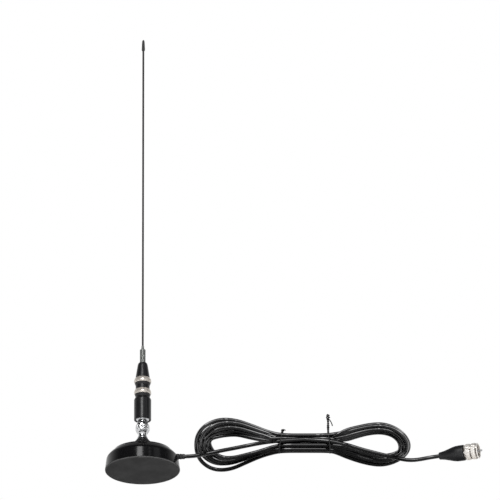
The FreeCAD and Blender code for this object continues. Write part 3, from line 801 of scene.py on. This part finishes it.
def build_cable(diameter):
    """The whole cable as one smooth spline: lead, hank and tail."""
    route = LEAD_ROUTE + LEAD_UNDER_LOOP + hank_points() + TAIL_UNDER_LOOP + TAIL_ROUTE
    curve = bpy.data.curves.new("cable", "CURVE")
    curve.dimensions = "3D"
    spline = curve.splines.new("NURBS")
    spline.points.add(len(route) - 1)
    for point, place in zip(spline.points, route):
        point.co = (*place, 1)
    spline.order_u = 3
    spline.use_endpoint_u = True
    spline.resolution_u = 6
    curve.bevel_depth = diameter / 2
    curve.bevel_resolution = 5
    curve.use_fill_caps = True
    return add_piece("cable", curve, "root", "cable_black", ["cable_lead", "cable_hank", "cable_tail"])


def build_tie(node, wire):
    """Twist tie round the waist of the hank, with a twisted ear and a loose end.

    The loop is a circle about the waist's axis. The ear is two helices about a line from the loop's top,
    which swell near their ends; the loose end is a quadratic curve that leaves the swelling.
    """
    ear, loose_end, lean = TIE_EARS[node]
    centre = np.array([TIE_X[node], -WAIST_AXIS[0] * MM, WAIST_AXIS[1] * MM])
    angle = np.linspace(0, 2 * pi, 49)
    across = np.stack([np.sin(angle), np.cos(angle)], 1) * TIE_RADIUS
    loop = centre + np.column_stack([lean * np.cos(angle), across])
    foot = centre + np.array([lean, 0, TIE_RADIUS])
    top, end = np.array(ear), np.array(loose_end)
    t = np.linspace(0, 1, 72)[:, None]
    line = foot + (top - foot) * t
    phase = 2 * pi * max(2.0, np.linalg.norm(top - foot) / 0.005) * t
    swell = np.exp(-((t - 0.86) / 0.12) ** 2) + 0.35 * np.exp(-((t - 0.35) / 0.12) ** 2)
    spread = wire * (0.4 + 0.8 * swell)
    meshes = [tube(node, loop, wire / 2)]
    for start in (0, pi):
        turns = np.concatenate([np.cos(phase + start), 0.8 * np.sin(phase + start), 0 * phase], 1)
        meshes.append(tube(node, line + spread * turns, wire * 0.52, 8))
    root = foot + (top - foot) * 0.8
    bend = root + (end - root) * 0.5 + np.array([0.0012, -0.0005, 0.0012])
    u = np.linspace(0, 1, 14)[:, None]
    meshes.append(tube(node, (1 - u) ** 2 * root + 2 * u * (1 - u) * bend + u ** 2 * end, wire * 0.42, 8))
    mesh = joined(node + "_wire", meshes)
    return add_piece(node + "_wire", mesh, "root", "tie_black", [node])


# ---- plug ------------------------------------------------------------------------------------
def build_boot():
    """Soft boot that swells from the cable to the plug."""
    profile = [(2.5, 0.2), (3.8, 0), (4.4, 0.8), (4.6, 3.0), (5.4, 7.0), (7.0, 12.5), (8.5, 17.5),
               (9.3, 21.5), (9.5, 25.0), (9.5, 31.0), (9.0, 31.9), (7.0, 31.9), (7.0, 27.0), (2.5, 14.0)]
    mesh = lathe("boot_skin", rounded(profile, 0.9), PLUG_FOOT, PLUG_DIR, 96)
    return add_piece("boot_skin", mesh, "root", "black_relief", ["plug_boot"])


def build_plug_body():
    """Nickel barrel between the boot and the pin, open at the front."""
    profile = [(3.0, 14.5), (6.95, 14.5), (6.95, 36.0), (6.0, 37.0), (6.0, 43.0), (5.1, 43.0),
               (5.1, 42.7), (3.0, 42.7)]
    mesh = lathe("plug_body_skin", rounded(profile, 0.3), PLUG_FOOT, PLUG_DIR, 96)
    return add_piece("plug_body_skin", mesh, "root", "bright_nickel", ["plug_body"])


def build_pin():
    """Centre pin with a slim rounded nose."""
    profile = [(0, 33.0), (1.9, 33.0), (1.9, 48.0), (1.3, 48.8), (1.3, 52.8), (0.8, 53.4), (0, 53.5)]
    mesh = lathe("pin_skin", rounded(profile, 0.35, closed=False), PLUG_FOOT, PLUG_DIR, 48, closed=False)
    return add_piece("pin_skin", mesh, "root", "silver_pin", ["plug_pin"])


def build_coupling_ring(teeth, depth):
    """Screw ring with two knurled bands between three grooves, and a front lip.

    The radius dips by depth between teeth, as a squared cosine that leaves rounded crowns, and only on
    the bands; the front band's teeth are turned by half a tooth.
    """
    start, end, outer, groove = 32.3, 49.2, 9.85, 8.95
    profile = rounded([(7.1, start), (groove, start), (groove, start + 1.4), (outer, start + 2.2),
                       (outer, start + 6.6), (groove, start + 7.4), (groove, start + 8.6),
                       (outer, start + 9.4), (outer, start + 13.6), (groove, start + 14.4),
                       (groove, start + 15.3), (outer - 0.3, start + 15.9), (outer - 0.6, end),
                       (7.9, end), (7.9, start + 7.5), (7.1, start + 6.6)], 0.5, 5)
    extra = [np.linspace(a, b, 4, endpoint=False) for a, b in zip(profile, np.roll(profile, -1, 0))]
    profile = np.concatenate(extra)
    centres = np.array((start + 4.4, start + 11.5))

    def grip(angle, distance):
        away = np.abs(distance[..., None] - centres).min(-1)
        band = np.clip((2.9 - away) / 0.9, 0, 1)
        phase = teeth * angle + np.where(distance > centres.mean(), pi, 0)
        return 1 - band * (0.5 - 0.5 * np.cos(phase)) ** 2 * depth / (outer * MM)

    outside = (profile[:, 0] > 8.2)[:, None]

    def swell(angle, distance):
        return np.where(outside, grip(angle, distance), 1)

    mesh = lathe("coupling_ring_skin", profile, PLUG_FOOT, PLUG_DIR, teeth * 10, swell=swell, sharp=50.0)
    return add_piece("coupling_ring_skin", mesh, "coupling_ring", "bright_nickel", ["coupling_ring"])


# ---- stage -----------------------------------------------------------------------------------
# The camera's rise in degrees, its sensor's width in millimetres, and its distance and field in metres.
VIEW_RISE = -22.4
SENSOR = 36.0
CAMERA_DISTANCE = 26.0
FIELD = 0.6011
TARGET = Vector((0.1287, 0, 0.2859))
# Half the floor's width, and how far it lies under the pad so that the two never share a plane.
FLOOR_REACH = 150.0
FLOOR_DROP = 0.0004
# The sky's sun: its power, its angular width and its turn.
SKY_POWER = 1.5
SKY_SPREAD = radians(80)
SKY_TURN = (radians(-18), radians(10), 0)
LIGHT_DISTANCE = 2.6
LIGHT_AIM = Vector((0, 0, 0.08))
# Soft boxes: name, turn from the camera's side, rise, width, height and power.
LIGHTS = [("key_strip", -9, 26, 0.66, 2.0, 32.0), ("side_panel", 49, 28, 0.8, 1.4, 1.6),
          ("line_strip", 24, 28, 0.12, 1.4, 0.6), ("under_fill", 10, -45, 2.4, 0.8, 30.0),
          ("cable_front", 0, 26, 5.0, 1.3, 110.0), ("cable_left", -78, 24, 4.8, 1.3, 100.0),
          ("cable_right", 78, 24, 4.8, 1.3, 100.0)]
# The world's brightness, as a product: the axis, where a smooth step starts and ends, and its two levels.
WORLD_SHADES = [("Y", -0.2, 0.6, 0.04, 0.85), ("Z", -0.5, 0.15, 0.35, 1.0), ("Z", 0.4, 0.8, 1.0, 0.3)]


def floor_material():
    """Pale floor that shows only from above and throws no shadow, so the base can be lit from below."""
    s = Shader("pale_floor")
    tone = s.mix(s.noise(0.6, 2.0), (0.78, 0.78, 0.785), (0.82, 0.82, 0.82))
    paint = s.node("ShaderNodeBsdfPrincipled", {}, {"Base Color": tone, "Roughness": 0.7})
    clear = s.node("ShaderNodeBsdfTransparent")
    back = s.node("ShaderNodeNewGeometry", output="Backfacing")
    shadow = s.node("ShaderNodeLightPath", output="Is Shadow Ray")
    see_through = s.node("ShaderNodeMath", {"operation": "MAXIMUM"}, {0: back, 1: shadow})
    s.node("ShaderNodeOutputMaterial", {}, {"Surface": s.blend(see_through, paint, clear)})
    return s.material


def placed(name, data, place, back):
    """Links a light or the camera at a place, turned so that back points away from what it faces."""
    thing = bpy.data.objects.new(name, data)
    bpy.context.scene.collection.objects.link(thing)
    thing.location = place
    thing.rotation_mode = "QUATERNION"
    thing.rotation_quaternion = (-back).to_track_quat("-Z", "Y")
    return thing


def build_world():
    """White to the camera; for light and gloss, bright behind the antenna near the level, dim elsewhere."""
    world = bpy.data.worlds.new("studio")
    bpy.context.scene.world = world
    s = Shader("studio", world)
    place = s.node("ShaderNodeTexCoord", output="Generated")
    level = 1.0
    for axis, start, end, first, last in WORLD_SHADES:
        part = s.node("ShaderNodeSeparateXYZ", {}, {0: place}, axis)
        step = s.node("ShaderNodeMapRange", {"interpolation_type": "SMOOTHSTEP"},
                      {"Value": part, "From Min": start, "From Max": end, "To Min": first, "To Max": last},
                      "Result")
        level = level * step
    white = (1, 1, 1, 1)
    around = s.node("ShaderNodeBackground", {}, {"Color": white, "Strength": level})
    seen = s.node("ShaderNodeBackground", {}, {"Color": white, "Strength": 1.0})
    to_camera = s.node("ShaderNodeLightPath", output="Is Camera Ray")
    s.node("ShaderNodeOutputWorld", {}, {"Surface": s.blend(to_camera, around, seen)})


def build_floor():
    """Wide square just under the pad."""
    mesh = bpy.data.meshes.new("floor")
    corners = [(-FLOOR_REACH, -FLOOR_REACH), (FLOOR_REACH, -FLOOR_REACH), (FLOOR_REACH, FLOOR_REACH),
               (-FLOOR_REACH, FLOOR_REACH)]
    mesh.from_pydata([(*corner, -FLOOR_DROP) for corner in corners], [], [(0, 1, 2, 3)])
    mesh.materials.append(floor_material())
    floor = bpy.data.objects.new("floor", mesh)
    bpy.context.scene.collection.objects.link(floor)


def build_lights():
    """A wide dim sky, and soft boxes round the antenna, of which some reach only the cable."""
    sun = bpy.data.lights.new("sky", "SUN")
    sun.energy = SKY_POWER
    sun.angle = SKY_SPREAD
    sky = bpy.data.objects.new("sky", sun)
    bpy.context.scene.collection.objects.link(sky)
    sky.rotation_euler = SKY_TURN
    sky.visible_glossy = False
    # The cable's boxes draw one clean line of light along every strand.
    lit = bpy.data.collections.new("lit_by_cable_boxes")
    lit.objects.link(bpy.data.objects["cable"])
    for name, turn, rise, width, height, power in LIGHTS:
        data = bpy.data.lights.new(name, "AREA")
        data.shape = "RECTANGLE"
        data.size = width
        data.size_y = height
        data.energy = power
        back = heading(turn - 90, rise)
        light = placed(name, data, LIGHT_AIM + back * LIGHT_DISTANCE, back)
        if name.startswith("cable_"):
            light.light_linking.receiver_collection = lit


def build_camera():
    """A long lens far off and below, looking up at the antenna."""
    camera = bpy.data.cameras.new("camera")
    camera.sensor_width = SENSOR
    camera.lens = SENSOR * CAMERA_DISTANCE / FIELD
    camera.clip_end = 4 * CAMERA_DISTANCE
    back = heading(-90, VIEW_RISE)
    bpy.context.scene.camera = placed("camera", camera, TARGET + back * CAMERA_DISTANCE, back)


def build_stage():
    """Floor, soft lights and the camera, with plain colours so that white stays white."""
    bpy.context.scene.view_settings.view_transform = "Standard"
    build_floor()
    build_world()
    build_lights()
    build_camera()


# ---- operators -------------------------------------------------------------------------------
class ANTENNA_OT_materials(bpy.types.Operator):
    """Make every finish and dress the frame's own nodes"""
    bl_idname = "antenna.materials"
    bl_label = "Materials"

    def execute(self, context):
        make_materials(context.scene.antenna_colours)
        slots = {part["node"]: part["material_slot"] for part in frame["record"]["subparts"]}
        for node, obj in frame["nodes"].items():
            obj.data.materials.clear()
            obj.data.materials.append(MATERIALS[slots[node]])
        return {"FINISHED"}


class ANTENNA_OT_base(bpy.types.Operator):
    """Build the magnetic base, its hub and its strain relief"""
    bl_idname = "antenna.base"
    bl_label = "Magnetic Base"

    def execute(self, context):
        build_shell()
        build_pad()
        build_hub()
        build_relief()
        return {"FINISHED"}


class ANTENNA_OT_knuckle(bpy.types.Operator):
    """Build the two halves of the tilt knuckle and its clamp screw"""
    bl_idname = "antenna.knuckle"
    bl_label = "Tilt Knuckle"

    def execute(self, context):
        build_knuckle_lower()
        build_knuckle_upper()
        build_clamp_screw()
        return {"FINISHED"}


class ANTENNA_OT_housing(bpy.types.Operator):
    """Build the coil housing: sleeve, spacers, bright rings and cone"""
    bl_idname = "antenna.housing"
    bl_label = "Coil Housing"

    def execute(self, context):
        build_sleeve()
        for node in ("lower_spacer", "middle_spacer"):
            build_spacer(node)
        for node in ("lower_ring", "upper_ring"):
            build_bright_ring(node, context.scene.antenna_sizes.ring_facets)
        build_cone()
        return {"FINISHED"}


class ANTENNA_OT_whip(bpy.types.Operator):
    """Build the whip and its tip cap"""
    bl_idname = "antenna.whip"
    bl_label = "Whip"

    def execute(self, context):
        build_whip()
        build_tip()
        return {"FINISHED"}


class ANTENNA_OT_cable(bpy.types.Operator):
    bl_idname = "antenna.cable"
    bl_label = "Cable and Plug"

    def execute(self, context):
        sizes = context.scene.antenna_sizes
        cable = build_cable(sizes.cable_diameter)
        on_cable = [
            build_tie("tie_left", sizes.tie_wire),
            build_tie("tie_right", sizes.tie_wire),
            build_boot(),
            build_plug_body(),
            build_pin(),
            build_coupling_ring(sizes.knurl_teeth, sizes.knurl_depth),
            bpy.data.objects["relief_skin"],
            frame["nodes"]["plug_dielectric"],
        ]
        return {"FINISHED"}


class ANTENNA_OT_stage(bpy.types.Operator):
    """Make the floor, the soft lights and the camera"""
    bl_idname = "antenna.stage"
    bl_label = "Stage"

    def execute(self, context):
        build_stage()
        return {"FINISHED"}


class ANTENNA_PT_panel(bpy.types.Panel):
    """Lists the antenna's settings and the steps that build it"""
    bl_idname = "ANTENNA_PT_panel"
    bl_label = "Mobile Whip Antenna"
    bl_space_type = "VIEW_3D"
    bl_region_type = "UI"
    bl_category = "Antenna"

    def draw(self, context):
        for group in (context.scene.antenna_sizes, context.scene.antenna_colours):
            for key in group.__annotations__:
                self.layout.prop(group, key)
        for step in STEPS:
            self.layout.operator(step.bl_idname)


STEPS = (ANTENNA_OT_materials, ANTENNA_OT_base, ANTENNA_OT_knuckle, ANTENNA_OT_housing, ANTENNA_OT_whip,
         ANTENNA_OT_cable, ANTENNA_OT_stage)
CLASSES = (AntennaSizes, AntennaColours, *STEPS, ANTENNA_PT_panel)


def register():
    for item in CLASSES:
        bpy.utils.register_class(item)
    bpy.types.Scene.antenna_sizes = bpy.props.PointerProperty(type=AntennaSizes)
    bpy.types.Scene.antenna_colours = bpy.props.PointerProperty(type=AntennaColours)


def unregister():
    del bpy.types.Scene.antenna_colours
    del bpy.types.Scene.antenna_sizes
    for item in reversed(CLASSES):
        bpy.utils.unregister_class(item)


def main():
    register()
    bpy.ops.antenna.materials()
    bpy.ops.antenna.base()
    bpy.ops.antenna.knuckle()
    bpy.ops.antenna.housing()
    bpy.ops.antenna.whip()
    bpy.ops.antenna.cable()
    bpy.ops.antenna.stage()


if __name__ == "__main__":
    main()
